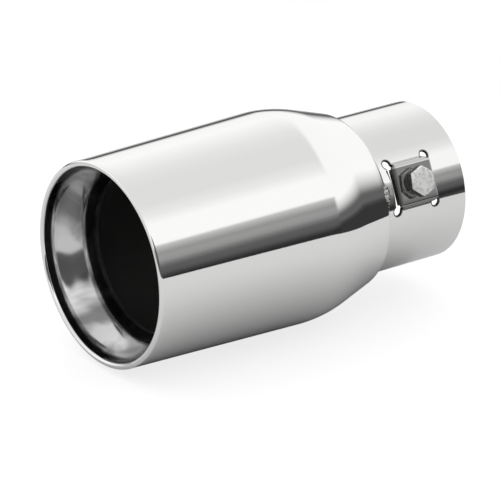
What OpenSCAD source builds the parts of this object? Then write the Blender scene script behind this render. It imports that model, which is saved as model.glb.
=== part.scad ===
// Exhaust tip: a tapered, in-rolled outer shell on a slip-on inlet collar, with one clamp bolt.
// Millimetres. X runs along the tip, its mouth towards -X. Z is up.
// The origin is the centre of the inlet end, where the tail pipe enters.

/* [Pipe] */
// Outside diameter of the tail pipe that the collar slips over
pipe_d = 63.5; // [57:0.1:66]
// Slip clearance between the pipe and the collar, on the diameter
pipe_slip = 0.2; // [0:0.05:0.6]
// Thickness of the stainless sheet
sheet = 1.2; // [0.8:0.1:1.6]

/* [Outer shell] */
// Outside diameter at the mouth
mouth_d = 84.8; // [80:0.1:90]
// Outside diameter at the crown, where the shoulder starts
crown_d = 88.9; // [86:0.1:96]
// Length from the mouth to the crown
straight_len = 83.5; // [50:0.5:140]
// Length from the crown to the rear face
shoulder_len = 35.5; // [32:0.5:60]
// Outer radius of the soft bend at the crown
crown_bend_r = 57; // [20:1:60]
// Outer radius of the tight bend at the rear corner
corner_r = 3; // [2:0.1:4]
// Flat ring left on the rear face, outside the collar
end_land = 1.3; // [0.5:0.1:3]
// Depth that the in-rolled lip reaches into the mouth
hem_len = 8; // [3:0.5:14]

/* [Inlet collar] */
// Length of collar that stands out behind the shell
collar_out = 41.7; // [36:0.1:70]
// Length of collar hidden inside the shell
collar_in = 12; // [5:0.5:30]
// Gap between the collar and the shell's rear opening
weld_gap = 0.1; // [0.05:0.01:0.3]

/* [Bolt bridge] */
// Distance from the inlet end to the middle of the bridge
bridge_from_end = 25.9; // [18:0.1:28]
// Width of the bridge along the tip
bridge_w = 19.6; // [16:0.1:22]
// Length of the bridge round the collar, from relief hole to relief hole
bridge_arc = 20; // [18:0.1:26]
// Lean of the bridge's end walls, as the angle that they face outwards above the level
wall_lean = 10; // [0:0.5:20]
// Radius of the bridge's bends, at the middle of the sheet
bridge_bend_r = 1.2; // [1:0.05:1.4]
// Chamfer along the bridge's two long outer edges
edge_break = 0.6; // [0.2:0.1:1]
// Width of the slot on either side of the bridge
slot_w = 0.6; // [0.4:0.1:1.4]
// Radius of the round relief hole at each end of a slot
relief_r = 1.8; // [1.5:0.05:2.6]
// Angle of the bolt above the horizontal, on the -Y side
bolt_angle = 24; // [-90:1:90]

/* [Bolt and nut] */
// Diameter of the bolt's shank
bolt_d = 6.35; // [5:0.05:7]
// Length of the shank below the head
bolt_len = 4.2; // [4:0.1:10]
// Width across the flats of the head
head_af = 11.1; // [10:0.1:13]
// Height of the head
head_h = 4; // [3:0.1:5]
// Height of the round washer face under the head
face_h = 0.4; // [0.2:0.1:0.8]
// Turn of the head about the bolt's axis
head_turn = 21; // [0:1:59]
// How far the plate nut's ends stay inside the bridge's long edges
nut_inset = 0.2; // [0.1:0.1:4]
// Thickness of the plate nut
nut_t = 1.6; // [1.4:0.1:3]
// Radial clearance of the shank in the nut
thread_gap = 0.05; // [0.03:0.01:0.1]
// Radial clearance of the shank in the bridge's hole
hole_gap = 0.35; // [0.2:0.05:0.8]
// Clearance that the nut and the bolt's tip keep outside the bore
bore_clear = 0.1; // [0.05:0.05:0.5]

/* [Tack welds] */
// Number of tack welds round the collar
weld_count = 3; // [2:1:6]
// Angle of the first weld above the horizontal, on the -Y side
weld_angle = 21.5; // [-60:0.1:60]
// Length of a weld round the collar
weld_len = 10; // [6:0.5:16]
// Width of a weld along the tip
weld_w = 6.2; // [3.5:0.1:7]
// Number of overlapping puddles in a weld
weld_puddles = 5; // [3:1:7]

/* [Hidden] */
$fn = 96;

// Clearance left between two parts that lie on each other
seat_gap = 0.05;
// How far a cutting tool runs past what it cuts
over = 1;
// How far a straight run lies inside the bend that it meets, so that the two cross and never just touch
dip = 0.005;

bore_r = (pipe_d + pipe_slip) / 2;
collar_r = bore_r + sheet;
shell_len = straight_len + shoulder_len;
overall_len = shell_len + collar_out;
collar_len = collar_out + collar_in;

// Half-section of the shell, in [radius, x] points, with normals as angles from the radius
function unit(a) = [cos(a), sin(a)];
nose_c = [mouth_d / 2 - sheet, sheet - overall_len];
crown_p = [crown_d / 2, straight_len - overall_len];
nose_to_crown = crown_p - nose_c;
taper_a = atan2(nose_to_crown[1], nose_to_crown[0]) - acos(sheet / norm(nose_to_crown));
// Both bends are held under the radius at which no straight shoulder is left between them
corner = min(corner_r, 0.8 * (crown_d / 2 - collar_r - end_land));
corner_c = [collar_r + end_land, -collar_out - corner];
drop = corner_c - crown_p;
bend_room = (norm(drop) ^ 2 - corner ^ 2) / (-(drop * unit(taper_a)) - corner) / 2;
crown_r = min(crown_bend_r, 0.85 * bend_room);
crown_c = crown_p - crown_r * unit(taper_a);
crown_to_corner = corner_c - crown_c;
shoulder_a = atan2(crown_to_corner[1], crown_to_corner[0])
    - acos((crown_r - corner) / norm(crown_to_corner));
// Direction along the wall from the mouth to the crown
lip_dir = unit(taper_a + 90);

// The bridge is pressed out just far enough to hold the nut clear of the bore
nut_in = bore_r + bore_clear;
nut_out = nut_in + nut_t;
bridge_top = nut_out + seat_gap + sheet;
foot_a = bridge_arc / collar_r * 90 / PI;
// Centres of a foot bend and of the bend above it, each as [across the bridge, out along the bolt]
foot_c = (collar_r - sheet / 2 + bridge_bend_r - dip) * [sin(foot_a), cos(foot_a)];
top_z = bridge_top - sheet / 2 - bridge_bend_r;
top_c = [(foot_c * unit(wall_lean) - 2 * bridge_bend_r - top_z * sin(wall_lean)) / cos(wall_lean), top_z];
tip_z = bore_r + bore_clear;
head_z = tip_z + bolt_len;

// Circle of radius r about c, kept only between angles a0 and a1 and joined inwards to its chord
module bulge(c, r, a0, a1) {
    middle = unit((a0 + a1) / 2);
    intersection() {
        translate(c) circle(r);
        polygon([
            c + r / 2 * middle, c + r * unit(a0), c + 2 * r * unit(a0), c + 2 * r * middle,
            c + 2 * r * unit(a1), c + r * unit(a1),
        ]);
    }
}

// Turns a half-section in [radius, x] points about the tip's axis
module turned() {
    rotate([0, 90, 0]) rotate_extrude() children();
}

// Straight round bar or hole along X, from x0 to x1
module along_x(r, x0, x1) {
    translate([x0, 0, 0]) rotate([0, 90, 0]) cylinder(r = r, h = x1 - x0);
}

// Places children with X along the tip, Z out along the bolt and the origin on the tip's axis
module at_bolt() {
    translate([-bridge_from_end, 0, 0]) rotate([90 - bolt_angle, 0, 0]) children();
}

// Draws children across the tip and makes them long along it, half to each side of the bridge
module along_bridge(length) {
    translate([-length / 2, 0, 0]) rotate([90, 0, 90]) linear_extrude(length) children();
}

// The shell's outline filled in to the axis, set in from its skin, its front end run out by run
module shell_fill(inset, run) {
    front = nose_c + (sheet - inset - dip) * unit(taper_a) - run * lip_dir;
    rear = corner_c + [0, corner - inset - dip];
    polygon([
        [0, front[1]], front, crown_c + (crown_r - inset - dip) * unit(taper_a),
        crown_c + (crown_r - inset - dip) * unit(shoulder_a),
        corner_c + (corner - inset - dip) * unit(shoulder_a), rear, [0, rear[1]],
    ]);
    bulge(crown_c, crown_r - inset, taper_a - 4, shoulder_a + 4);
    bulge(corner_c, corner - inset, shoulder_a - 12, 102);
}

module shell_section() {
    difference() {
        shell_fill(0, 0);
        shell_fill(sheet, over);
        translate([0, -collar_out - sheet - over]) square([collar_r + weld_gap, sheet + 2 * over]);
    }
    // The lip: a round nose, and the inner leaf folded flat against the wall, its end cut on a slant
    translate(nose_c) circle(sheet);
    polygon([
        nose_c + sheet / 2 * unit(taper_a), nose_c + sheet / 2 * unit(taper_a) + hem_len * lip_dir,
        nose_c + (hem_len + sheet / 2) * lip_dir,
        nose_c - (sheet - dip) * unit(taper_a) + hem_len * lip_dir, nose_c - (sheet - dip) * unit(taper_a),
    ]);
}

module outer_shell() {
    color("gainsboro") turned() shell_section();
}

// Section across the bridge, filled in to the axis: its outer outline with inset 0, its underside
// with inset sheet. Each end has a foot bend on the collar, a steep wall and a bend to the flat top.
module bridge_fill(inset) {
    foot_r = bridge_bend_r - sheet / 2 + inset;
    top_r = bridge_bend_r + sheet / 2 - inset;
    half = [
        foot_c, foot_c - (foot_r - dip) * unit(wall_lean), top_c + (top_r - dip) * unit(wall_lean),
        top_c + [0, top_r - dip],
    ];
    difference() {
        union() {
            polygon(concat([[0, 0]], half, [for (k = [3:-1:0]) [-half[k][0], half[k][1]]]));
            for (side = [0, 1]) mirror([side, 0]) translate(top_c) circle(top_r);
        }
        for (side = [0, 1]) mirror([side, 0]) translate(foot_c) circle(foot_r);
    }
}

// Everything under the chamfers on the bridge's long edges
module under_chamfers() {
    edge = bridge_w / 2 + slot_w / 2;
    low = bridge_top - edge_break - slot_w / 2;
    high = bridge_w / 2 - edge_break - over;
    rotate([90, 0, 0]) linear_extrude(2 * bridge_top, center = true) polygon([
        [-edge, 0], [-edge, low], [-high, bridge_top + over], [high, bridge_top + over], [edge, low], [edge, 0],
    ]);
}

// The slots on either side of the bridge, and the round relief hole at each of their ends
module slots() {
    reach = 2 * bridge_top;
    for (side = [0, 1]) mirror([side, 0, 0]) {
        translate([bridge_w / 2 + slot_w / 2, 0, 0]) along_bridge(slot_w)
            polygon([[0, 0], reach * [sin(foot_a), cos(foot_a)], reach * [-sin(foot_a), cos(foot_a)]]);
        for (a = [-foot_a, foot_a])
            translate([bridge_w / 2, 0, 0]) rotate([a, 0, 0]) cylinder(r = relief_r, h = reach);
    }
}

module inlet_collar() {
    color("silver") difference() {
        union() {
            along_x(collar_r, -collar_len, 0);
            at_bolt() intersection() {
                along_bridge(bridge_w + slot_w) bridge_fill(0);
                under_chamfers();
            }
        }
        along_x(bore_r, -collar_len - over, over);
        at_bolt() {
            along_bridge(bridge_w + slot_w) bridge_fill(sheet);
            slots();
            cylinder(r = bolt_d / 2 + hole_gap, h = bridge_top + over);
        }
    }
}

// One bead: puddles laid over each other along the joint, smaller towards its ends
module weld_bead() {
    reach = weld_len / collar_r * 180 / PI - 2 * asin(weld_w / 2.4 / collar_r);
    for (k = [0:weld_puddles - 1]) {
        place = 2 * k / (weld_puddles - 1) - 1;
        rotate([place * reach / 2, 0, 0])
            translate([0, 0, collar_r + weld_w * 0.27])
                sphere(r = weld_w / 2 * (1 - 0.15 * place ^ 2));
    }
}

module tack_welds() {
    color("dimgray") difference() {
        for (k = [0:weld_count - 1])
            translate([-collar_out, 0, 0]) rotate([90 - weld_angle - k * 360 / weld_count, 0, 0])
                weld_bead();
        turned() shell_fill(0, 0);
        along_x(collar_r, -collar_out - weld_w, -collar_out + weld_w);
    }
}

// A plate nut that fills the bridge: as wide as its flat top, so that it can't turn, and as long as it is wide
module captive_nut() {
    long = bridge_w - 2 * nut_inset;
    color("darkgray") at_bolt() difference() {
        translate([-long / 2, -top_c[0], nut_in]) cube([long, 2 * top_c[0], nut_t]);
        translate([0, 0, nut_in - over]) cylinder(r = bolt_d / 2 + thread_gap, h = nut_t + 2 * over);
    }
}

module clamp_bolt() {
    tip_cut = bolt_d / 12;
    point_r = head_af / 2 / cos(30);
    face_r = head_af * 0.475;
    head_top = head_z + face_h + head_h;
    color("lightgray") at_bolt() {
        rotate_extrude() polygon([
            [0, tip_z], [bolt_d / 2 - tip_cut, tip_z], [bolt_d / 2, tip_z + tip_cut],
            [bolt_d / 2, head_z], [face_r, head_z], [face_r, head_z + face_h + over],
            [0, head_z + face_h + over],
        ]);
        intersection() {
            translate([0, 0, head_z + face_h]) rotate([0, 0, head_turn])
                cylinder(r = point_r, h = head_h, $fn = 6);
            rotate_extrude() polygon([
                [0, head_z], [point_r + over, head_z],
                [point_r + over, head_top - (point_r + over - face_r) * tan(30)],
                [face_r, head_top], [0, head_top],
            ]);
        }
    }
}

outer_shell();
inlet_collar();
tack_welds();
captive_nut();
clamp_bolt();
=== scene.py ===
# %% [markdown]
# A polished exhaust tip
#
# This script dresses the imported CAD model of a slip-on exhaust tip: a rolled stainless shell on a short collar,
# with a bolt that clamps the collar on the tail pipe. A mirror finish hides nothing and has no colour of its own.
# What the eye sees is the shape and the studio round it, so both are built with care here. Sizes are in
# millimetres and angles in degrees, until a mesh or a node takes them in Blender's metres and radians.

import math

import bmesh
import bpy
from mathutils import Matrix, Vector, geometry


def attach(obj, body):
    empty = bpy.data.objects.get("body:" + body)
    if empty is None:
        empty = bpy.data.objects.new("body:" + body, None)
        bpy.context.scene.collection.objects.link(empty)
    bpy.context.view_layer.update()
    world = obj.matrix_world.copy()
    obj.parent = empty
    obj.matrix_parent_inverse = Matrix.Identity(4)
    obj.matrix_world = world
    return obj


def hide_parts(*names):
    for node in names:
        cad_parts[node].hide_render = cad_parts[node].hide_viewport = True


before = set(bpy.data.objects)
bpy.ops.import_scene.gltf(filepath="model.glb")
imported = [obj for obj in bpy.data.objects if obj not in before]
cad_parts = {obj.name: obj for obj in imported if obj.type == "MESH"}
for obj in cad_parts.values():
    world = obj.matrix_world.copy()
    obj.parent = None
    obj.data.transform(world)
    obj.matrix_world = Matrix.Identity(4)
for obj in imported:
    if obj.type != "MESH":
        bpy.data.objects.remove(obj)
scene = bpy.context.scene
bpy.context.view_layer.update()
MM = 0.001
DEGREE = math.radians(1)

# %% [markdown]
# The camera
#
# The photograph was taken from the mouth's side, a little above. A long lens far away keeps the two ends of the
# tip nearly the same size, as in the picture. The camera looks along the third of the three directions below.

# %% Set the camera
CAMERA_AT = Vector((-0.9460, -1.1457, 0.5670))
CAMERA_RIGHT = Vector((0.79982, -0.60024, 0.0))
CAMERA_UP = Vector((0.22469, 0.29940, 0.92729))
LENS = 273.6  # millimetres, on Blender's 36 mm sensor

camera_data = bpy.data.cameras.new("photo_camera")
camera_data.lens = LENS
camera_data.clip_end = 20
camera = bpy.data.objects.new("photo_camera", camera_data)
scene.collection.objects.link(camera)
back = CAMERA_RIGHT.cross(CAMERA_UP)
turn = Matrix((CAMERA_RIGHT, CAMERA_UP, back)).transposed().to_4x4()
camera.matrix_world = Matrix.Translation(CAMERA_AT) @ turn
scene.camera = camera
scene.view_settings.view_transform = "Standard"
print("camera height above the inlet's axis in mm:", round(CAMERA_AT.z / MM))

# %% [markdown]
# Colours and nodes
#
# A colour is written as it looks on a screen, as a hex value, and turned into the linear light that Blender
# works with. One function adds every node of every tree: it sets the node's own settings and fills its inputs,
# each with a number, a colour or another node's output. The short ones after it only save words.

# %% The helpers for colours and nodes
def colour(code):
    """A hex colour such as #c0c0c0 as linear red, green, blue and alpha."""
    channels = [int(code[k:k + 2], 16) / 255 for k in (1, 3, 5)]
    return [c / 12.92 if c <= 0.04045 else ((c + 0.055) / 1.055) ** 2.4 for c in channels] + [1.0]


def node(tree, kind, inputs=None, **settings):
    """One new node. An input may be a plain value, an output socket, or a node, which stands for its first output."""
    made = tree.nodes.new(kind)
    for name, value in settings.items():
        setattr(made, name, value)
    for key, value in (inputs or {}).items():
        if isinstance(value, bpy.types.Node):
            value = value.outputs[0]
        if isinstance(value, bpy.types.NodeSocket):
            tree.links.new(value, made.inputs[key])
        else:
            made.inputs[key].default_value = value
    return made


def maths(tree, operation, *values):
    """One plain operation on numbers."""
    return node(tree, "ShaderNodeMath", dict(enumerate(values)), operation=operation)


def noise(tree, place, scale, detail):
    """Soft noise, mostly from 0.3 to 0.7, at a scale per metre."""
    return node(tree, "ShaderNodeTexNoise", {"Vector": place, "Scale": scale, "Detail": detail})


def spread(tree, value, low, high):
    """A value from 0 to 1, spread from low to high instead."""
    return node(tree, "ShaderNodeMapRange", {"Value": value, "To Min": low, "To Max": high})


def step(tree, value, start, end, low=0.0, high=1.0, kind="SMOOTHSTEP"):
    """Goes from low to high while the value goes from start to end, softly or, if the kind is LINEAR, straight."""
    return node(tree, "ShaderNodeMapRange", {"Value": value, "From Min": start, "From Max": end, "To Min": low,
                                             "To Max": high}, interpolation_type=kind)


def dot(tree, place, direction):
    """How far a place lies along a direction."""
    return node(tree, "ShaderNodeVectorMath", {0: place, 1: direction}, operation="DOT_PRODUCT").outputs["Value"]


def mixed(tree, share, first, second, **settings):
    """From one colour to another as the share goes from 0 to 1. Each is a hex colour or another node's output."""
    ends = [colour(end) if isinstance(end, str) else end for end in (first, second)]
    return node(tree, "ShaderNodeMix", {"Factor": share, 6: ends[0], 7: ends[1]}, data_type="RGBA",
                **settings).outputs[2]


def ramp_of(tree, table, value, unit_size, low, high):
    """A colour ramp over a value, from a table of places and colours. The table's unit is unit_size in the tree's."""
    fraction = step(tree, value, low * unit_size, high * unit_size, kind="LINEAR")
    ramp = node(tree, "ShaderNodeValToRGB", {"Fac": fraction})
    stops = ramp.color_ramp.elements
    stops.remove(stops[-1])
    for k, (place, code) in enumerate(table):
        stop = stops[0] if k == 0 else stops.new((place - low) / (high - low))
        stop.position = (place - low) / (high - low)
        stop.color = colour(code)
    return ramp


print("white and mid grey in linear light:", colour("#ffffff")[0], round(colour("#808080")[0], 3))

# %% [markdown]
# The sizes
#
# These are the sizes of the CAD source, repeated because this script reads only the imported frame. The tip's axis
# is X, its mouth is at -X, and the middle of the inlet end is the origin.

# %% Repeat the sizes of the tip
BORE_R = 31.85
SHEET = 1.2
COLLAR_R = BORE_R + SHEET
COLLAR_OUT = 41.7
COLLAR_IN = 12
SHELL_LEN = 119
STRAIGHT_LEN = 83.5
OVERALL_LEN = SHELL_LEN + COLLAR_OUT
MOUTH_R = 42.4
CROWN_R = 44.45
CROWN_BEND_R = 57
CORNER_R = 3
END_LAND = 1.3
WELD_GAP = 0.1
# The leaf that is rolled in at the mouth is longer here than in the CAD model, and leans inwards
HEM_LEN = 23
HEM_LEAN = 40  # degrees at its steepest
LEAN_LATE = 0.85  # under 1 the lean is steepest before the middle of the leaf
HEM_STEPS = 46
LEAF_GAP = 0.5  # a narrower gap between the leaf and the wall is drawn closed
# the leaf's last millimetres also fade into the dark grey painted as shade of the deep inside
HEM_FADE = 4  # over its last millimetres the satin leaf turns into dull sheet


# %% Points on arcs and lines
def unit(angle):
    """The direction at an angle from the radius, as (radius, x)."""
    return Vector((math.cos(math.radians(angle)), math.sin(math.radians(angle))))


def arc(centre, radius, start, end, steps):
    """Points along an arc, its ends included."""
    return [centre + radius * unit(start + (end - start) * k / steps) for k in range(steps + 1)]


def line(start, end, apart):
    """Points between two ends, which aren't included, about this far apart."""
    count = max(1, round((end - start).length / apart))
    return [start.lerp(end, k / count) for k in range(1, count)]


# %% [markdown]
# The shell's section
#
# The real shell is one sheet, spun and rolled: a slow taper from the mouth to the crown, a wide bend into the
# shoulder, a tight corner, and a flat ring round the collar. At the mouth the sheet is rolled in, so that no cut
# edge shows. The leaf that is rolled in starts along the wall, leans inwards like a funnel, and ends along the axis,
# about as wide as the pipe. That funnel throws the studio's light back out of the mouth, where a straight wall would
# stay black. Half of the section is one closed outline, and bends have to meet straights without a kink.

# %% Draw the half-section
nose_c = Vector((MOUTH_R - SHEET, SHEET - OVERALL_LEN))
crown_p = Vector((CROWN_R, STRAIGHT_LEN - OVERALL_LEN))
to_crown = crown_p - nose_c
taper_a = math.degrees(math.atan2(to_crown.y, to_crown.x) - math.acos(SHEET / to_crown.length))
crown_c = crown_p - CROWN_BEND_R * unit(taper_a)
corner_c = Vector((COLLAR_R + END_LAND, -COLLAR_OUT - CORNER_R))
to_corner = corner_c - crown_c
shoulder_a = math.degrees(math.atan2(to_corner.y, to_corner.x)
                          - math.acos((CROWN_BEND_R - CORNER_R) / to_corner.length))
along = unit(taper_a + 90)
hole_r = COLLAR_R + WELD_GAP


def skin(inset):
    """One face of the sheet from the crown to the rear ring, set in from the outside."""
    bend = arc(crown_c, CROWN_BEND_R - inset, taper_a, shoulder_a, 30)
    corner = arc(corner_c, CORNER_R - inset, shoulder_a, 90, 12)
    return bend + line(bend[-1], corner[0], 2) + corner


outside = skin(0)
inside = skin(SHEET)
nose = arc(nose_c, SHEET, taper_a, taper_a - 180, 20)
leaf, leaf_back = [nose[-1]], [nose[-1] + SHEET * unit(taper_a)]
for k in range(HEM_STEPS):
    lean = HEM_LEAN * math.sin(math.pi * ((k + 0.5) / HEM_STEPS) ** LEAN_LATE) ** 2
    leaf.append(leaf[-1] + HEM_LEN / HEM_STEPS * unit(taper_a + 90 + lean))
    leaf_back.append(leaf[-1] + SHEET * unit(taper_a + lean))
leaf_edge = arc((leaf[-1] + leaf_back[-1]) / 2, SHEET / 2, taper_a + 180, taper_a, 8)
free = [p for p in leaf_back[:-1] if (nose_c - p).dot(unit(taper_a)) > LEAF_GAP]
fold = nose_c + (free[0] - nose_c).dot(along) * along
outer_part = list(reversed(outside)) + line(outside[0], nose[0], 3) + nose
inner_part = leaf[1:-1] + leaf_edge + free[::-1] + [fold] + line(fold, inside[0], 3) + inside
rear_in = Vector((hole_r, inside[-1].y))
rear_out = Vector((hole_r, outside[-1].y))
rear_part = line(inside[-1], rear_in, 0.6) + [rear_in] + line(rear_in, rear_out, 0.4) + [rear_out]
rear_part += line(rear_out, outside[-1], 0.6)
section = outer_part + inner_part + rear_part
is_inside = [0.0] * len(outer_part) + [1.0] * len(inner_part) + [0.0] * len(rear_part)
print("section points", len(section), "| shoulder angle", round(shoulder_a, 2), "| taper", round(-taper_a, 2))
print("the rolled-in leaf ends at a radius of", round(leaf[-1].x, 2), "mm,",
      round(leaf[-1].y + OVERALL_LEN, 2), "mm deep")

# %% [markdown]
# Polished stainless steel
#
# The sheet is stainless steel, ground and then buffed until it mirrors. Buffing leaves the surface very smooth
# but never quite flat: long soft waves bend the edges of what it reflects, and a fine haze of lines from the
# wheel runs round the tip. Both are bumps far too small for a mesh, so they are made in the material. The leaf at
# the mouth was rolled in after buffing, which left it satin and wavy; its brighter and darker patches are painted
# reflection, placed at random by noise. Behind it the inside was never buffed and keeps the rougher finish of the
# rolling mill, and its dark grey is painted shade of the deep inside.

# %% Make the sheet's two finishes
def new_material(name):
    """An empty node material, its tree and its object coordinates."""
    made = bpy.data.materials.new(name)
    made.use_nodes = True
    tree = made.node_tree
    tree.nodes.clear()
    place = node(tree, "ShaderNodeTexCoord").outputs["Object"]
    return made, tree, place


def finish_metal(tree, tint, rough, normal):
    """Ends a tree with the shader of a bare metal."""
    shader = node(tree, "ShaderNodeBsdfPrincipled", {"Base Color": tint, "Metallic": 1.0, "Roughness": rough,
                                                     "Normal": normal})
    node(tree, "ShaderNodeOutputMaterial", {"Surface": shader})


def uneven_metal(name, scale, detail, tones, roughness, height):
    """A bare metal whose tone, roughness and height, in metres, all follow one noise."""
    made, tree, place = new_material(name)
    grain = noise(tree, place, scale, detail)
    bump = node(tree, "ShaderNodeBump", {"Height": grain, "Distance": height})
    finish_metal(tree, mixed(tree, grain, *tones), spread(tree, grain, *roughness), bump)
    return made


def buffed(tree, place, wave, lines):
    """The normal of a buffed sheet: long soft waves and fine lines that run round the tip, of these heights."""
    soft = node(tree, "ShaderNodeTexNoise", {"Vector": place, "Scale": 28.0, "Detail": 1.0, "Roughness": 0.4})
    # Wheel lines are microns apart; they are drawn about 0.4 mm apart so that they show at all
    stretched = node(tree, "ShaderNodeMapping", {"Vector": place, "Scale": (2400.0, 60.0, 60.0)})
    fine = node(tree, "ShaderNodeTexNoise", {"Vector": stretched, "Scale": 1.0, "Detail": 2.0})
    first = node(tree, "ShaderNodeBump", {"Height": soft, "Distance": wave})
    return node(tree, "ShaderNodeBump", {"Height": fine, "Distance": lines, "Normal": first})


MIRROR = (0.00002, 0.0000003)  # the height of the waves and of the wheel lines, in metres
SATIN = (0.0009, 0.000001)
polished, tree, place = new_material("polished_stainless")
haze = noise(tree, place, 90.0, 4.0)
rough = spread(tree, haze, 0.025, 0.055)
finish_metal(tree, colour("#f5f5f4"), rough, buffed(tree, place, *MIRROR))

mill, tree, place = new_material("mill_finish_and_painted_shade")
depth = node(tree, "ShaderNodeSeparateXYZ", {"Vector": place})
# deeper than the leaf the grey is painted darker as shade of the deep inside, and the sheet is rougher as it left the
# mill
deep_shade_and_mill = step(tree, depth, (HEM_LEN - HEM_FADE - OVERALL_LEN) * MM, (HEM_LEN - OVERALL_LEN) * MM)
stain = noise(tree, place, 60.0, 5.0)
patches = node(tree, "ShaderNodeTexNoise", {"Vector": place, "Scale": 38.0, "Detail": 3.0, "Distortion": 0.6})
painted_reflection_patch = step(tree, patches, 0.38, 0.6)
# the leaf's brighter and darker patches are painted reflection, placed at random by noise
leaf_tone_painted_reflection = mixed(tree, painted_reflection_patch, "#8a8a8a", "#dcdcdc")
# the deep grey #6a6a69 is painted shade
grey = mixed(tree, deep_shade_and_mill, leaf_tone_painted_reflection, "#6a6a69")
satin = spread(tree, stain, 0.07, 0.2)
rough = maths(tree, "MULTIPLY_ADD", deep_shade_and_mill, 0.45, satin)
finish_metal(tree, grey, rough, buffed(tree, place, *SATIN))
print("materials:", polished.name, mill.name)

# %% [markdown]
# Turning a section into a solid
#
# A turned shape follows one rule, so it is a good task for Geometry Nodes: take a grid, give each row the place
# of one point of the section, and give each column its own turn round the axis. The seam closes by merging the
# points that meet. Edges sharper than the given angle stay sharp, and the rest is shaded smooth.

# %% Build the turning tree
def new_tree(name, **sizes):
    """A geometry tree with named inputs, each a socket kind and a default. Returns the tree and its inputs."""
    made = bpy.data.node_groups.new(name, "GeometryNodeTree")
    made.interface.new_socket(name="Geometry", in_out="INPUT", socket_type="NodeSocketGeometry")
    made.interface.new_socket(name="Geometry", in_out="OUTPUT", socket_type="NodeSocketGeometry")
    for key, (kind, default) in sizes.items():
        socket = made.interface.new_socket(name=key.replace("_", " "), in_out="INPUT",
                                           socket_type="NodeSocket" + kind)
        if default is not None:
            socket.default_value = default
    return made, node(made, "NodeGroupInput").outputs


def run_tree(obj, tree, **sizes):
    """Runs a tree on an object with these sizes, and leaves the object with the plain mesh that comes out."""
    modifier = obj.modifiers.new(tree.name, "NODES")
    modifier.node_group = tree
    wanted = {key.replace("_", " "): value for key, value in sizes.items()}
    for item in tree.interface.items_tree:
        if item.in_out == "INPUT" and item.name in wanted:
            modifier[item.identifier] = wanted[item.name]
    evaluated = obj.evaluated_get(bpy.context.evaluated_depsgraph_get())
    mesh = bpy.data.meshes.new_from_object(evaluated)
    obj.modifiers.remove(modifier)
    obj.data = mesh
    print(obj.name, "has", len(mesh.vertices), "points and", len(mesh.polygons), "faces")


def finish_tree(tree, geometry, sharp_angle, finish):
    """Shades a mesh smooth except at edges over an angle, makes it real and gives it a material."""
    edge_angle = node(tree, "GeometryNodeInputMeshEdgeAngle")
    is_sharp = node(tree, "FunctionNodeCompare", {0: edge_angle, 1: sharp_angle}, operation="GREATER_THAN")
    smooth = node(tree, "GeometryNodeSetShadeSmooth", {"Geometry": geometry}, domain="FACE")
    creased = node(tree, "GeometryNodeSetShadeSmooth", {"Geometry": smooth, "Selection": is_sharp,
                                                        "Shade Smooth": False}, domain="EDGE")
    real = node(tree, "GeometryNodeRealizeInstances", {"Geometry": creased})
    return node(tree, "GeometryNodeSetMaterial", {"Geometry": real, "Material": finish})


turning, given = new_tree("turned_section", Steps_round=("Int", 360), Sharp_angle=("Float", 0.6),
                          Skin=("Material", None), Lining=("Material", None))
points = node(turning, "GeometryNodeAttributeDomainSize", {"Geometry": given["Geometry"]}, component="MESH")
columns = maths(turning, "ADD", given["Steps round"], 1.0)
grid = node(turning, "GeometryNodeMeshGrid", {"Vertices X": columns, "Vertices Y": points})
index = node(turning, "GeometryNodeInputIndex")
row = maths(turning, "FLOORED_MODULO", index, points)
share = maths(turning, "DIVIDE", index, points)
column = maths(turning, "FLOOR", share)
spot = node(turning, "GeometryNodeInputPosition")
picked = node(turning, "GeometryNodeSampleIndex", {"Geometry": given["Geometry"], "Value": spot, "Index": row},
              data_type="FLOAT_VECTOR")
flat = node(turning, "ShaderNodeSeparateXYZ", {"Vector": picked})
full = maths(turning, "MULTIPLY", column, 2 * math.pi)
angle = maths(turning, "DIVIDE", full, given["Steps round"])
across = maths(turning, "COSINE", angle)
upward = maths(turning, "SINE", angle)
y = maths(turning, "MULTIPLY", across, flat.outputs["Y"])
z = maths(turning, "MULTIPLY", upward, flat.outputs["Y"])
turned_spot = node(turning, "ShaderNodeCombineXYZ", {"X": flat.outputs["X"], "Y": y, "Z": z})
placed = node(turning, "GeometryNodeSetPosition", {"Geometry": grid, "Position": turned_spot})
lining = node(turning, "GeometryNodeInputNamedAttribute", {"Name": "lining"})
lining_here = node(turning, "GeometryNodeSampleIndex", {"Geometry": given["Geometry"], "Value": lining, "Index": row})
marked = node(turning, "GeometryNodeStoreNamedAttribute", {"Geometry": placed, "Name": "lining",
                                                           "Value": lining_here})
closed = node(turning, "GeometryNodeMergeByDistance", {"Geometry": marked, "Distance": 0.000001})
skinned = finish_tree(turning, closed, given["Sharp angle"], given["Skin"])
is_lining = node(turning, "FunctionNodeCompare", {0: lining, 1: 0.99}, operation="GREATER_THAN")
lined = node(turning, "GeometryNodeSetMaterial", {"Geometry": skinned, "Selection": is_lining,
                                                  "Material": given["Lining"]})
node(turning, "NodeGroupOutput", {"Geometry": lined})
print("nodes in the turning tree:", len(turning.nodes))


# %% Turn the shell
def new_object(name, mesh):
    """A mesh as an object in the scene, at the origin."""
    made = bpy.data.objects.new(name, mesh)
    scene.collection.objects.link(made)
    return made


def section_object(name, outline, lining):
    """A closed outline of (radius, x) points as a line of mesh points at (x, radius)."""
    loop = outline + outline[:1]
    mesh = bpy.data.meshes.new(name)
    mesh.from_pydata([(p.y * MM, p.x * MM, 0) for p in loop], [(k, k + 1) for k in range(len(loop) - 1)], [])
    mark = mesh.attributes.new("lining", "FLOAT", "POINT")
    mark.data.foreach_set("value", lining + lining[:1])
    return new_object(name, mesh)


shell = section_object("exhaust_shell", section, is_inside)
run_tree(shell, turning, Steps_round=360, Sharp_angle=0.6, Skin=polished, Lining=mill)


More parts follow.
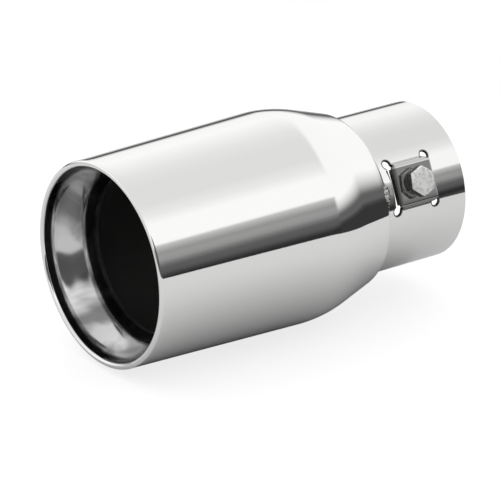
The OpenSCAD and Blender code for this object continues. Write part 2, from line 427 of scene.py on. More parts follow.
def volume_mm3(obj):
    """The volume inside a closed mesh, which is negative if it is inside out."""
    bm = bmesh.new()
    bm.from_mesh(obj.data)
    size = bm.calc_volume(signed=True) / MM ** 3
    bm.free()
    return round(size, 1)


if volume_mm3(shell) < 0:
    shell.data.flip_normals()
print("shell volume", volume_mm3(shell), "mm3")
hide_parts("outer_shell")
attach(shell, "tip")

# %% [markdown]
# The collar and its bolt bridge
#
# The bridge is pressed out of the collar's own wall. Two slits free a strap, a round hole at each end stops them
# from tearing, and the press lifts the strap into a flat-topped box that a nut fits under. The mesh is made the
# same way: a flat blank with its slits and holes cut, rolled up, with the strap given the radius of the box's
# section instead of the tube's: a bend at the foot, a steep wall, a bend at the top, and the flat top.

# %% Work out the bridge's section
BRIDGE_FROM_END = 25.9
BRIDGE_W = 19.6
BRIDGE_ARC = 20
WALL_LEAN = 10
BRIDGE_BEND_R = 1.2
SLOT_W = 0.6
RELIEF_R = 1.8
BOLT_ANGLE = 24
BOLT_D = 6.35
BOLT_LEN = 4.2
HEAD_AF = 11.1
HEAD_H = 4
FACE_H = 0.4
HEAD_TURN = 21
NUT_T = 1.6
HOLE_GAP = 0.35
BORE_CLEAR = 0.1
SEAT_GAP = 0.05

bridge_top = BORE_R + BORE_CLEAR + NUT_T + SEAT_GAP + SHEET
foot_a = math.degrees(BRIDGE_ARC / COLLAR_R / 2)
top_r = BRIDGE_BEND_R + SHEET / 2
foot_r = BRIDGE_BEND_R - SHEET / 2
wall = unit(WALL_LEAN)
foot_c = (COLLAR_R + foot_r) * unit(90 - foot_a)
top_y = bridge_top - top_r
top_c = Vector(((foot_c.dot(wall) - top_r - foot_r - top_y * wall.y) / wall.x, top_y))

# Half of the section from the middle to the foot: each point with the direction that its surface faces
half = [(Vector((top_c.x * k / 8, bridge_top)), 90) for k in range(9)]
for k in range(1, 9):
    a = 90 + (WALL_LEAN - 90) * k / 8
    half.append((top_c + top_r * unit(a), a))
half += [(p, WALL_LEAN) for p in line(half[-1][0], foot_c - foot_r * wall, 0.4)]
for k in range(9):
    a = WALL_LEAN + (90 - foot_a - WALL_LEAN) * k / 8
    half.append((foot_c - foot_r * unit(a), a))
print("bridge top", round(bridge_top, 2), "mm out, feet at", round(foot_a, 2), "degrees, flat to", round(top_c.x, 2))

# %% [markdown]
# The blank lies flat with its length round the collar along one side and its length along the tip along the
# other. Its grid is finer where the bends are. A Delaunay triangulation joins the grid to the outlines of the
# slots and holes, and the triangles inside those are thrown away.

# %% Cut the flat blank
EDGE = 0.12  # how much the blank's cut edges are rounded
RING_R = RELIEF_R + 0.55  # a ring of painted shade round each relief hole
TO_ARC = math.pi / 180 * COLLAR_R  # millimetres round the collar for one degree
CUTS_END = 16  # all cuts lie within this distance of the bolt, measured round the collar
CLEAR_OF_CUTS = 0.16  # a point of the grid this near to a cut is left out
bend_table = [(90 - math.degrees(math.atan2(p.y, p.x)), p.length, 90 - face) for p, face in half]


def bend_at(degrees):
    """Radius and facing of the strap at an angle from the bolt."""
    a = abs(degrees)
    for (a0, r0, f0), (a1, r1, f1) in zip(bend_table, bend_table[1:]):
        if a0 <= a <= a1:
            t = (a - a0) / (a1 - a0)
            return r0 + (r1 - r0) * t, math.copysign(f0 + (f1 - f0) * t, degrees)
    return COLLAR_R, degrees


bend_columns = [a for a, _, _ in bend_table]
plain_columns = [foot_a + (180 - foot_a) * k / 120 for k in range(1, 121)]
columns_deg = sorted({round(s * a, 5) for a in bend_columns + plain_columns for s in (-1, 1)})
slot_in = BRIDGE_W / 2
rows_mm = [-EDGE - (COLLAR_OUT + COLLAR_IN - 2 * EDGE) * k / 54 for k in range(55)]
rows_mm += [side * (slot_in - inward) - BRIDGE_FROM_END for inward in (0.3, 0.5, 0.8, 1.2, 1.7, 2.4, 3.2)
            for side in (-1, 1)]
slot_out = BRIDGE_W / 2 + SLOT_W + EDGE
circle = [(math.cos(math.radians(7.5 * k)), math.sin(math.radians(7.5 * k))) for k in range(48)]


def inside_cut(u, v):
    """Whether a point of the blank is in a slot, a relief hole or the bolt's hole."""
    w = abs(v + BRIDGE_FROM_END)
    in_slot = slot_in - EDGE < w < slot_out and abs(u) < foot_a * TO_ARC
    in_relief = math.hypot(abs(u) - foot_a * TO_ARC, w - slot_in) < RELIEF_R + EDGE
    in_bolt_hole = math.hypot(u, w) < BOLT_D / 2 + HOLE_GAP + EDGE
    return in_slot or in_relief or in_bolt_hole


outlines = []
for side in (-1, 1):
    start, end = side * (slot_in - EDGE) - BRIDGE_FROM_END, side * slot_out - BRIDGE_FROM_END
    reach = foot_a * TO_ARC
    long_side = [a * TO_ARC for a in columns_deg if abs(a) < foot_a - 0.01]
    outlines.append([(u, start) for u in [-reach] + long_side + [reach]]
                    + [(u, end) for u in [reach] + long_side[::-1] + [-reach]])
    for around in (-1, 1):
        outlines.append([(around * reach + (RELIEF_R + EDGE) * c, side * slot_in - BRIDGE_FROM_END
                          + (RELIEF_R + EDGE) * s) for c, s in circle])
relief_spots = [(a * foot_a * TO_ARC, b * slot_in - BRIDGE_FROM_END) for a in (-1, 1) for b in (-1, 1)]
hole = BOLT_D / 2 + HOLE_GAP + EDGE
outlines.append([(hole * c, hole * s - BRIDGE_FROM_END) for c, s in circle])

cut_points, cut_edges = [], []
for loop in outlines:
    first = len(cut_points)
    cut_points += loop
    cut_edges += [(first + k, first + (k + 1) % len(loop)) for k in range(len(loop))]
grid_points = [(u + RING_R * c, v + RING_R * s) for u, v in relief_spots for c, s in circle]
grid_points = [(u, v) for u, v in grid_points if not inside_cut(u, v)]
near = cut_points + grid_points
for a in columns_deg:
    for v in rows_mm:
        u = a * TO_ARC
        if abs(u) < CUTS_END and (min((u - p) ** 2 + (v - q) ** 2 for p, q in near) < CLEAR_OF_CUTS ** 2
                                  or inside_cut(u, v)):
            continue
        grid_points.append((u, v))
flat_points, _, flat_faces, _, _, _ = geometry.delaunay_2d_cdt(
    [Vector(p) for p in cut_points + grid_points], cut_edges, [], 0, 1e-7)
kept_faces = []
for face in flat_faces:
    middle = sum((flat_points[k] for k in face), Vector((0, 0))) / len(face)
    if not inside_cut(middle.x, middle.y):
        kept_faces.append(face)
print("blank:", len(flat_points), "points,", len(kept_faces), "of", len(flat_faces), "triangles kept")

# %% [markdown]
# Rolling the blank up gives the outer face. The inner face is the same points set in by the sheet's thickness,
# along the direction that each point faces. Between the two runs a slightly crowned rim, because a sheared and
# buffed edge is never knife sharp. The directions are also given to the mesh as its normals, so that the mirror
# doesn't show the triangles.

# %% Roll up the blank and press out the strap
around_bolt = Matrix.Rotation(math.radians(90 - BOLT_ANGLE), 3, "X")
HALF_ROUND = 180 * TO_ARC
# The press pulled the strap's face down along its edges, on the shell's side and on the inlet's side
ROLL_OVER = (4.0, 1.2)  # how far in from the edge
ROLL_DROP = (0.45, 0.02)  # how far down at the edge


def rolled(u, v):
    """Where a point of the blank is once it is rolled up, in millimetres, and where it faces."""
    degrees = u / TO_ARC
    beside = v + BRIDGE_FROM_END
    in_strap = abs(beside) <= slot_in + 0.001
    radius, facing = bend_at(degrees) if in_strap else (COLLAR_R, degrees)
    a, f = math.radians(degrees), math.radians(facing)
    spot = Vector((0, radius * math.sin(a), radius * math.cos(a)))
    face = Vector((0, math.sin(f), math.cos(f)))
    over, drop = ROLL_OVER[beside > 0], ROLL_DROP[beside > 0]
    roll = max(0, abs(beside) - slot_in + over) / over
    if in_strap and roll > 0 and radius > COLLAR_R:
        lift = min(1, (radius - COLLAR_R) / (bridge_top - COLLAR_R))
        spot -= drop * lift * roll ** 3 * face
        face.x = math.copysign(3 * drop * lift * roll ** 2 / over, beside)
        face.normalize()
    return around_bolt @ spot + Vector((v, 0, 0)), around_bolt @ face


# The two ends of the blank are one seam, so a point at the far end is given the number of its twin
seam = {round(p.y, 3): k for k, p in enumerate(flat_points) if p.x < -HALF_ROUND + 0.001}
twin = [seam[round(p.y, 3)] if p.x > HALF_ROUND - 0.001 else k for k, p in enumerate(flat_points)]
used = sorted({twin[k] for face in kept_faces for k in face})
number = {k: n for n, k in enumerate(used)}
outer_faces = [[number[twin[k]] for k in face] for face in kept_faces]
spots, facings = zip(*[rolled(flat_points[k].x, flat_points[k].y) for k in used])
a, b, c = (spots[k] for k in outer_faces[0])
if (b - a).cross(c - a).dot(facings[outer_faces[0][0]]) < 0:
    outer_faces = [face[::-1] for face in outer_faces]
count = len(spots)
places = list(spots) + [p - SHEET * f for p, f in zip(spots, facings)]
faces = outer_faces + [[k + count for k in face[::-1]] for face in outer_faces]
skin_count = len(faces)
runs = {(face[k], face[(k + 1) % len(face)]) for face in outer_faces for k in range(len(face))}
rim_runs = sorted((a, b) for a, b in runs if (b, a) not in runs)
away = {}
for a, b in rim_runs:
    out = (spots[b] - spots[a]).cross(facings[a]).normalized()
    away[a] = away.get(a, Vector()) + out
    away[b] = away.get(b, Vector()) + out
chain = {}
for k, out in away.items():
    chain[k] = [k]
    for depth in (EDGE, SHEET / 2, SHEET - EDGE):
        chain[k].append(len(places))
        places.append(spots[k] + EDGE * out.normalized() - depth * facings[k])
    chain[k].append(k + count)
for a, b in rim_runs:
    for (a0, a1), (b0, b1) in zip(zip(chain[a], chain[a][1:]), zip(chain[b], chain[b][1:])):
        faces.append([b0, a0, a1, b1])

collar_mesh = bpy.data.meshes.new("inlet_collar")
collar_mesh.from_pydata([p * MM for p in places], [], faces)
collar_mesh.polygons.foreach_set("use_smooth", [True] * len(faces))
rims = {tuple(sorted(run)) for run in rim_runs} | {tuple(sorted((a + count, b + count))) for a, b in rim_runs}
sharp = collar_mesh.attributes.new("sharp_edge", "BOOLEAN", "EDGE")
sharp.data.foreach_set("value", [tuple(sorted(e.vertices)) in rims for e in collar_mesh.edges])
normals = []
for face in collar_mesh.polygons:
    for k in face.vertices:
        if face.index < skin_count:
            normals.append(facings[k] if k < count else -facings[k - count])
        else:
            normals.append(Vector())
collar_mesh.normals_split_custom_set(normals)
collar = new_object("slip_collar", collar_mesh)
print("collar:", len(places), "points,", len(faces), "faces, volume", volume_mm3(collar), "mm3")

# %% [markdown]
# The collar is the same sheet, buffed after the bridge was pressed, so the bridge's flat top is as much a mirror as
# the tube and shows the bolt's head upside down. The buff drags a little on the smaller tube, which leaves its
# reflections a shade softer and greyer than the shell's. The buff can't reach the sheared edges of the slits and
# holes, which are rough, and their dark tone is painted shade. A ring of painted shade lies round each relief hole,
# and the strap is painted darker as shade, most towards its lower foot and its edge by the weld.

# %% Finish the collar
collar_steel, tree, place = new_material("polished_stainless_collar")
haze = noise(tree, place, 90.0, 4.0)
rough = spread(tree, haze, 0.03, 0.07)
foot_x = foot_c.x * MM
STRAP_SHADE_W = 3.6  # how far in from the weld's side the strap is painted darker as shade
STRAP_SHADE_FROM, STRAP_SHADE_ALL_OVER = 0.45, 0.3  # from this share of the way down to the foot; and a little everywhere
along_tip = node(tree, "ShaderNodeSeparateXYZ", {"Vector": place}).outputs["X"]
round_tip = dot(tree, place, around_bolt @ Vector((0, 1, 0)))
# painted shade on the strap's outer face: darker towards its weld side and its lower foot, and a little all over
shade_by_weld = step(tree, along_tip, (STRAP_SHADE_W - slot_in - BRIDGE_FROM_END) * MM, (-slot_in - BRIDGE_FROM_END) * MM)
shade_by_foot = step(tree, round_tip, -STRAP_SHADE_FROM * foot_x, -foot_x, low=STRAP_SHADE_ALL_OVER)
strap_shade = maths(tree, "MAXIMUM", shade_by_weld, shade_by_foot)
long_way = maths(tree, "COMPARE", along_tip, -BRIDGE_FROM_END * MM, (slot_in + EDGE) * MM)
short_way = maths(tree, "COMPARE", round_tip, 0.0, foot_x)
outward = dot(tree, place, around_bolt @ Vector((0, 0, 1)))
bolt_side = maths(tree, "GREATER_THAN", outward, 0.0)
strap = maths(tree, "MULTIPLY", long_way, short_way)
strap_only = maths(tree, "MULTIPLY", strap, bolt_side)
painted_strap_shade = maths(tree, "MULTIPLY", strap_shade, strap_only)
# the strap's painted shade takes the collar's colour down to #6c6c6b
tint = mixed(tree, painted_strap_shade, "#f1f1f0", "#6c6c6b")
finish_metal(tree, tint, rough, buffed(tree, place, *MIRROR))

# Shearing tears the metal, so a cut edge is grainy and rough; its dark tone is painted shade
sheared_and_shaded = uneven_metal("sheared_edge_and_painted_shade", 1500.0, 4.0, ("#7c7b79", "#4b4a48"), (0.25, 0.5), 0.00002)
for finish in (collar_steel, mill, sheared_and_shaded):
    collar.data.materials.append(finish)
# The sheared rims, painted dark as shade, and the rings of painted shade round the relief holes are number 2. The
# inside is as rolled, number 1. The outside is buffed.
for face in collar.data.polygons:
    if face.index >= skin_count:
        face.material_index = 2
    elif face.index >= len(outer_faces):
        face.material_index = 1
    else:
        middle = sum((flat_points[k] for k in kept_faces[face.index]), Vector((0, 0))) / 3
        if min((middle - Vector(spot)).length for spot in relief_spots) < RING_R:
            face.material_index = 2
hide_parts("inlet_collar")
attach(collar, "tip")

# %% [markdown]
# The tack welds
#
# Three short welds hold the shell to the collar. A tack is a few puddles of melted steel laid over each other, so
# the tree places balls along the joint, melts them together as a volume, turns the volume back into a mesh and
# makes its surface uneven. The finished bead is then copied to the other places round the collar.

# %% Lay the beads
WELD_COUNT = 3
WELD_ANGLE = 21.5
WELD_LEN = 10
WELD_W = 6.2
WELD_PUDDLES = 5
WELD_LAP = 1.3  # how far the bead lies over towards the shell
WELD_RISE = 0.35  # how far a puddle's middle stands off the collar, as a share of the bead's width
END_PUDDLE_R = WELD_W / 2.4
reach = WELD_LEN / COLLAR_R - 2 * math.asin(END_PUDDLE_R / COLLAR_R)

# Melted steel sets bright and smooth, and the heat leaves a thin grey scale on it in patches
welded = uneven_metal("weld_bead_steel", 500.0, 3.0, ("#e4e3e0", "#8d8b88"), (0.12, 0.35), 0.00001)

welding, given = new_tree("weld_beads", Puddles=("Int", 5), Reach=("Float", 0.2), Radius=("Float", 0.002),
                          Stand_off=("Float", 0.03), Beads=("Int", 3), Seed=("Float", 1.0),
                          Bead_steel=("Material", None))
puddles = node(welding, "GeometryNodePoints", {"Count": given["Puddles"], "Radius": 0.001})
index = node(welding, "GeometryNodeInputIndex")
last = maths(welding, "SUBTRACT", given["Puddles"], 1.0)
share = maths(welding, "DIVIDE", index, last)
centred = maths(welding, "SUBTRACT", share, 0.5)
angle = maths(welding, "MULTIPLY", centred, given["Reach"])
sine = maths(welding, "SINE", angle)
cosine = maths(welding, "COSINE", angle)
y = maths(welding, "MULTIPLY", sine, given["Stand off"])
z = maths(welding, "MULTIPLY", cosine, given["Stand off"])
spot = node(welding, "ShaderNodeCombineXYZ", {"Y": y, "Z": z})
along_joint = node(welding, "GeometryNodeSetPosition", {"Geometry": puddles, "Position": spot})
ball = node(welding, "GeometryNodeMeshIcoSphere", {"Radius": given["Radius"], "Subdivisions": 4})
square = maths(welding, "MULTIPLY", centred, centred)
size = maths(welding, "MULTIPLY_ADD", square, -0.6, 1.0)  # the end puddles are a little smaller
balls = node(welding, "GeometryNodeInstanceOnPoints", {"Points": along_joint, "Instance": ball, "Scale": size})
loose = node(welding, "GeometryNodeRealizeInstances", {"Geometry": balls})
melt = node(welding, "GeometryNodeMeshToVolume", {"Mesh": loose, "Density": 1.0, "Voxel Size": 0.00012,
                                                  "Interior Band Width": 0.0006}, resolution_mode="VOXEL_SIZE")
bead = node(welding, "GeometryNodeVolumeToMesh", {"Volume": melt, "Threshold": 0.5})
chance = node(welding, "ShaderNodeTexNoise", {"W": given["Seed"], "Scale": 450.0, "Detail": 1.0},
              noise_dimensions="4D")
uneven = spread(welding, chance, -0.0005, 0.0003)  # metres out from the smooth bead
normal = node(welding, "GeometryNodeInputNormal")
push = node(welding, "ShaderNodeVectorMath", {0: normal, "Scale": uneven}, operation="SCALE")
rippled = node(welding, "GeometryNodeSetPosition", {"Geometry": bead, "Offset": push})
places_round = node(welding, "GeometryNodePoints", {"Count": given["Beads"], "Radius": 0.001})
turns = maths(welding, "MULTIPLY", index, -2 * math.pi)
each = maths(welding, "DIVIDE", turns, given["Beads"])
spin = node(welding, "ShaderNodeCombineXYZ", {"X": each})
beads = node(welding, "GeometryNodeInstanceOnPoints", {"Points": places_round, "Instance": rippled,
                                                       "Rotation": spin})
real = node(welding, "GeometryNodeRealizeInstances", {"Geometry": beads})
smooth = node(welding, "GeometryNodeSetShadeSmooth", {"Geometry": real}, domain="FACE")
steel = node(welding, "GeometryNodeSetMaterial", {"Geometry": smooth, "Material": given["Bead steel"]})
node(welding, "NodeGroupOutput", {"Geometry": steel})

beads_obj = new_object("weld_beads", bpy.data.meshes.new("weld_beads"))
run_tree(beads_obj, welding, Puddles=WELD_PUDDLES, Reach=reach, Radius=WELD_W / 2 * MM,
         Stand_off=(COLLAR_R + WELD_W * WELD_RISE) * MM, Beads=WELD_COUNT, Seed=1.0, Bead_steel=welded)
first_bead = Matrix.Translation(((-COLLAR_OUT - WELD_LAP) * MM, 0, 0))
first_bead @= Matrix.Rotation(math.radians(90 - WELD_ANGLE), 4, "X")
beads_obj.data.transform(first_bead)
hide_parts("tack_welds")
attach(beads_obj, "tip")

# %% [markdown]
# The clamp bolt
#
# A cold-forged hexagon bolt: a round washer face under the head, six flats, and a chamfer turned on top, which
# leaves an arc on each flat. The mesh is a stack of rings with the same number of points, from the tip of the
# shank up to the middle of the head. A ring is round or follows the hexagon, and the chamfer's ring dips at the
# corners, because they stand further out on the cone.

# %% Stack the rings of the bolt
PITCH = 1.27
THREAD_DEPTH = 0.55
PLAIN_NECK = 0.3  # the thread starts this far under the head
RUN_OUT = 0.8  # and is at its full depth this much further down
SHARP_ON_BOLT = 34  # degrees
tip_z = BORE_R + BORE_CLEAR
head_z = tip_z + BOLT_LEN
hex_z = head_z + FACE_H
head_top = hex_z + HEAD_H
flat_r = HEAD_AF / 2
face_r = HEAD_AF * 0.475  # the washer face and the flat top are 0.95 as wide as the flats
shank_r = BOLT_D / 2
CORNER_ROUND = 0.3
FINE = 0.1  # the small round on turned edges
# From the middle of each flat, closer together towards the corners
flat_steps = [-29.9, -29.4, -28.8, -27, -23, -18, -12, -6, 0, 6, 12, 18, 23, 27, 28.8, 29.4, 29.9]
angles = [HEAD_TURN + 30 + 60 * flat + a for flat in range(6) for a in flat_steps]


def hex_r(degrees):
    """Distance from the axis to the hexagon at an angle, with its corners a little round."""
    a = (degrees - HEAD_TURN) % 60 - 30
    b = math.radians(30 - abs(a))
    middle = (flat_r - CORNER_ROUND) / math.cos(math.radians(30))
    if middle * math.sin(b) < CORNER_ROUND * 0.5:
        return middle * math.cos(b) + math.sqrt(CORNER_ROUND ** 2 - (middle * math.sin(b)) ** 2)
    return flat_r / math.cos(math.radians(a))


def chamfer_z(radius):
    """Height of the cone that the top of the head is turned to."""
    return head_top - (radius - face_r) * math.tan(math.radians(30))


SHANK_STEPS = 84
POINT = BOLT_D / 12  # the bevel at the shank's tip
rings = [lambda a: (0, tip_z), lambda a: (shank_r - POINT, tip_z), lambda a: (shank_r, tip_z + POINT)]
for k in range(1, SHANK_STEPS):
    rings.append(lambda a, k=k: (shank_r, tip_z + POINT + (BOLT_LEN - POINT) * k / SHANK_STEPS))
rings += [
    lambda a: (shank_r, head_z),
    lambda a: (face_r - FINE, head_z),
    lambda a: (face_r, head_z + FINE),
    lambda a: (face_r, hex_z),
    lambda a: (hex_r(a) - FINE, hex_z),
    lambda a: (hex_r(a), hex_z + FINE),
    lambda a: (hex_r(a), chamfer_z(hex_r(a)) - FINE),
    lambda a: (hex_r(a) - 0.3 * FINE, chamfer_z(hex_r(a)) - 0.2 * FINE),
    lambda a: (hex_r(a) - FINE, chamfer_z(hex_r(a) - FINE)),
    lambda a: (face_r + 0.5 * FINE, chamfer_z(face_r + 0.5 * FINE)),
    lambda a: (face_r - FINE, head_top),
    lambda a: (face_r * 0.5, head_top),
    lambda a: (0, head_top),
]
ring_points = []
for ring in rings:
    for a in angles:
        r, z = ring(a)
        ring_points.append((r * math.cos(math.radians(a)) * MM, r * math.sin(math.radians(a)) * MM, z * MM))
n = len(angles)
ring_faces = [(j * n + k, j * n + (k + 1) % n, (j + 1) * n + (k + 1) % n, (j + 1) * n + k)
              for j in range(len(rings) - 1) for k in range(n)]
bolt_mesh = bpy.data.meshes.new("clamp_bolt")
bolt_mesh.from_pydata(ring_points, [], ring_faces)
bm = bmesh.new()
bm.from_mesh(bolt_mesh)
bmesh.ops.remove_doubles(bm, verts=bm.verts, dist=1e-7)
bmesh.ops.recalc_face_normals(bm, faces=bm.faces)
bm.to_mesh(bolt_mesh)
bm.free()
bolt = new_object("hex_bolt", bolt_mesh)
print("bolt: stand-off of the head from the bridge", round(head_z - bridge_top, 2), "mm")

# %% [markdown]
# The thread is a helix, and a helix is a rule: the depth at a point depends only on its height and its turn about
# the bolt. A small tree pulls the shank's points in by that rule and lets the thread run out under the head.
#
# The blank was dipped in zinc. Its colour is painted by height: a painted highlight on the washer face, the six
# flats painted dark as shade, and the chamfer and the top painted white as if lit from above.

# %% Cut the thread
# painted light by height on the bolt: a highlight on the washer face, shade on the flats, white on the chamfer and
# the top
BOLT_PAINTED_LIGHT = (  # millimetres from the tip's axis, colour
    (tip_z, "#8a8986"), (head_z - 0.1, "#8a8986"), (head_z, "#f2f2ef"), (hex_z, "#f2f2ef"), (hex_z + 0.15, "#5a5956"),
    (head_top - 0.9, "#5a5956"), (head_top - 0.45, "#ffffff"), (head_top + 0.1, "#ffffff"),
)
zinc, tree, place = new_material("zinc_plated_steel")
spangle = noise(tree, place, 700.0, 5.0)
height = dot(tree, place, around_bolt @ Vector((0, 0, 1)))
painted_light_by_height = ramp_of(tree, BOLT_PAINTED_LIGHT, height, MM, tip_z, head_top + 0.1)
dull_spots = step(tree, spangle, 0.46, 0.68, kind="LINEAR")
tint = mixed(tree, dull_spots, painted_light_by_height, "#dad9d6", blend_type="MULTIPLY")
rough = spread(tree, spangle, 0.52, 0.66)
pressed = node(tree, "ShaderNodeBump", {"Height": spangle, "Distance": 0.00002})
finish_metal(tree, tint, rough, pressed)

threading, given = new_tree("cut_thread", Pitch=("Float", 0.001), Depth=("Float", 0.0006),
                            Thread_top=("Float", 0.03), Bolt_steel=("Material", None))
spot = node(threading, "GeometryNodeInputPosition")
flat = node(threading, "ShaderNodeSeparateXYZ", {"Vector": spot})
height = maths(threading, "DIVIDE", flat.outputs["Z"], given["Pitch"])
around = maths(threading, "ARCTAN2", flat.outputs["Y"], flat.outputs["X"])
turn = maths(threading, "MULTIPLY_ADD", around, -0.5 / math.pi, height)
wave = maths(threading, "PINGPONG", turn, 0.5)
groove = step(threading, wave, 0.06, 0.44, kind="LINEAR")  # flat crests and roots, straight flanks between
below = maths(threading, "SUBTRACT", given["Thread top"], flat.outputs["Z"])
fade = step(threading, below, 0.0, RUN_OUT * MM, kind="LINEAR")
cut = maths(threading, "MULTIPLY", groove, fade)
deep = maths(threading, "MULTIPLY", cut, given["Depth"])
outward = node(threading, "ShaderNodeCombineXYZ", {"X": flat.outputs["X"], "Y": flat.outputs["Y"]})
unit_out = node(threading, "ShaderNodeVectorMath", {0: outward}, operation="NORMALIZE")
inward = maths(threading, "MULTIPLY", deep, -1.0)
push = node(threading, "ShaderNodeVectorMath", {0: unit_out.outputs[0], "Scale": inward}, operation="SCALE")
radius = node(threading, "ShaderNodeVectorMath", {0: outward}, operation="LENGTH")
on_shank = node(threading, "FunctionNodeCompare", {0: radius.outputs["Value"], 1: shank_r * 0.8 * MM},
                operation="GREATER_THAN")
threaded = node(threading, "GeometryNodeSetPosition", {"Geometry": given["Geometry"], "Selection": on_shank,
                                                       "Offset": push})
steel = finish_tree(threading, threaded, SHARP_ON_BOLT * DEGREE, given["Bolt steel"])
node(threading, "NodeGroupOutput", {"Geometry": steel})
run_tree(bolt, threading, Pitch=PITCH * MM, Depth=THREAD_DEPTH * MM, Thread_top=(head_z - PLAIN_NECK) * MM,
         Bolt_steel=zinc)
on_bolt_axis = Matrix.Translation((-BRIDGE_FROM_END * MM, 0, 0)) @ around_bolt.to_4x4()
bolt.data.transform(on_bolt_axis)
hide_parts("clamp_bolt")
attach(bolt, "bolt")

# %% [markdown]
# The nut is a threaded plate that fills the space under the strap, where it can't turn. Its CAD shape is right, so
# it only gets a finish: bare mild steel, grey and dull as the rolls left it, with fine pits.

# %% Finish the nut
plain = uneven_metal("bare_mild_steel", 500.0, 6.0, ("#9c9a97", "#74726f"), (0.35, 0.55), 0.00003)
nut_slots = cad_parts["captive_nut"].material_slots
for nut_slot in nut_slots:
    nut_slot.material = plain
print("nut slots:", len(nut_slots))

# %% [markdown]
# The studio
#
# The tip lies on a sheet of white paper in a light tent. Overhead a wide soft light runs the length of the tip. In
# front, between the paper's edge and the light, a grey wall and a strip of dark room show, and they draw the dark
# band along the tip that tells the eye it is a mirror. The world holds the tent. Along the tip its brightness
# follows the angle round the tip's axis: zero is level and in front, 90 is overhead. Towards the far end the grey
# wall stops, and the brightness follows the height above the horizon instead: dark low down, light above. There the
# wall is lower behind the tip than in front. The room is dark round the camera too, which only the funnel in the
# mouth shows.

# %% Light the tent
ROUND_THE_TIP = (  # degrees round the axis, colour
    (-180, "#4c4c4c"), (-175, "#646464"), (-171, "#b8b8b8"), (-60, "#b8b8b8"), (-30, "#a9a9a9"), (-16, "#5a5a5a"),
    (-11, "#4c4c4c"), (-8, "#303030"), (-4, "#2c2c2c"), (-1, "#444444"), (2, "#585858"), (7, "#5e5e5e"),
    (11, "#7a7a7a"), (14, "#949494"), (18, "#9c9c9c"), (22, "#959595"), (26, "#aeaeae"), (29.5, "#c6c6c6"),
    (31.5, "#ffffff"), (53, "#ffffff"), (63, "#eeeeee"), (76, "#e2e2e2"), (100, "#e2e2e2"), (118, "#e9e9e9"),
    (134, "#f5f5f5"), (150, "#ffffff"), (170, "#fafafa"), (175.5, "#d2d2d2"), (178.5, "#4c4c4c"), (180, "#4c4c4c"),
)
TOWARDS_THE_END = (  # degrees above the horizon, colour
    (-90, "#363636"), (-1, "#363636"), (1.5, "#4c4c4c"), (3, "#626262"), (7, "#606060"), (8.5, "#6e6e6e"),
    (10.5, "#989898"), (13, "#c4c4c4"), (15, "#dadada"), (17, "#ececec"), (20, "#ffffff"), (90, "#fafafa"),
)
END_STARTS, END_RULES = 0.61, 0.67  # the share of +X in a direction, over which the one takes over from the other
WALL_DROP = 9  # degrees that the grey wall is lower behind the tip
DARK_ROOM_AT = Vector((-0.47, -0.88, 0.05)).normalized()
DARK_ROOM_EDGE = (38, 29)  # degrees from its middle, where it starts and where it is full
DARK_ROOM = "#585858"
TENT_STRENGTH = 1.04

world = bpy.data.worlds.new("studio")
scene.world = world
world.use_nodes = True
tree = world.node_tree
tree.nodes.clear()
direction = node(tree, "ShaderNodeTexCoord").outputs["Generated"]
parts = node(tree, "ShaderNodeSeparateXYZ", {"Vector": direction})
front = maths(tree, "MULTIPLY", parts.outputs["Y"], -1.0)
round_axis = maths(tree, "ARCTAN2", parts.outputs["Z"], front)
height = maths(tree, "ARCSINE", parts.outputs["Z"])
behind = step(tree, parts.outputs["Y"], 0.1, 0.5, high=WALL_DROP * DEGREE)
above = maths(tree, "ADD", height, behind)
far_end = step(tree, parts.outputs["X"], END_STARTS, END_RULES)
tent = mixed(tree, far_end, ramp_of(tree, ROUND_THE_TIP, round_axis, DEGREE, -180, 180),
             ramp_of(tree, TOWARDS_THE_END, above, DEGREE, -90, 90))
beside_camera = dot(tree, direction, DARK_ROOM_AT)
in_dark_room = step(tree, beside_camera, *[math.cos(a * DEGREE) for a in DARK_ROOM_EDGE])
room = mixed(tree, in_dark_room, tent, DARK_ROOM)
studio = node(tree, "ShaderNodeBackground", {"Color": room, "Strength": TENT_STRENGTH})
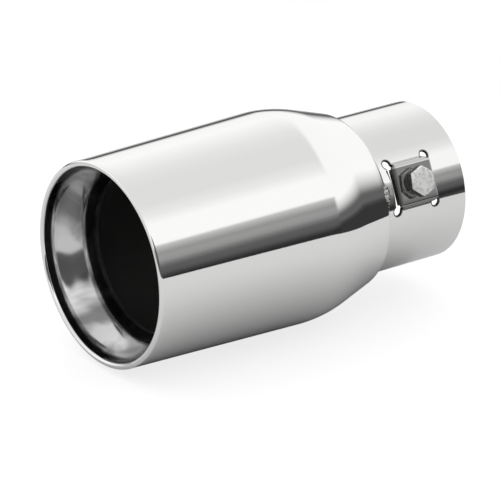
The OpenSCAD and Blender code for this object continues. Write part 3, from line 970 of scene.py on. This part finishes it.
# The camera sees plain white behind the tip, and everything else sees the tent
white = node(tree, "ShaderNodeBackground", {"Color": colour("#ffffff")})
path = node(tree, "ShaderNodeLightPath")
seen = node(tree, "ShaderNodeMixShader", {0: path.outputs["Is Camera Ray"], 1: studio, 2: white})
node(tree, "ShaderNodeOutputWorld", {"Surface": seen})
print("stops on the ramps:", len(ROUND_THE_TIP), len(TOWARDS_THE_END))
# Light that bounced off the mirror isn't sent on to the paper, so that the shadow under the tip stays deep. Deep
# inside the tip light bounces many times before it comes out.
scene.cycles.caustics_reflective = False
scene.cycles.max_bounces = 24
scene.cycles.glossy_bounces = 24

# %% [markdown]
# The paper under the tip is matt and white. The camera sees it lifted to white, with the tip's shadow kept, and
# the polished steel sees it as it is lit, darker where the tip keeps the light off it.

# %% Lay the paper
PAPER_GAP = 0.05  # keeps the crown from poking through the paper
FLOOR_Z = -(max(p.x for p in section) + PAPER_GAP) * MM
PAPER = ((-1.6, -1.9), (0.17, 1.5))  # two corners, in metres
PAPER_LIFT = 0.8
paper, tree, place = new_material("white_paper")
fibre = noise(tree, place, 12.0, 3.0)
seen_tone = mixed(tree, fibre, "#a4a4a4", "#a0a0a0")
lit_tone = mixed(tree, fibre, "#eeeeee", "#eaeaea")
seen_matt = node(tree, "ShaderNodeBsdfDiffuse", {"Color": seen_tone})
lift = node(tree, "ShaderNodeEmission", {"Color": colour("#ffffff"), "Strength": PAPER_LIFT})
seen_paper = node(tree, "ShaderNodeAddShader", {0: seen_matt, 1: lift})
lit_paper = node(tree, "ShaderNodeBsdfDiffuse", {"Color": lit_tone})
path = node(tree, "ShaderNodeLightPath")
both = node(tree, "ShaderNodeMixShader", {0: path.outputs["Is Camera Ray"], 1: lit_paper, 2: seen_paper})
node(tree, "ShaderNodeOutputMaterial", {"Surface": both})
(x0, y0), (x1, y1) = PAPER
paper_mesh = bpy.data.meshes.new("paper")
paper_mesh.from_pydata([(x0, y0, FLOOR_Z), (x1, y0, FLOOR_Z), (x1, y1, FLOOR_Z), (x0, y1, FLOOR_Z)], [],
                       [(0, 1, 2, 3)])
paper_mesh.materials.append(paper)
sheet_of_paper = new_object("paper", paper_mesh)
print("paper at", round(FLOOR_Z / MM, 2), "mm")
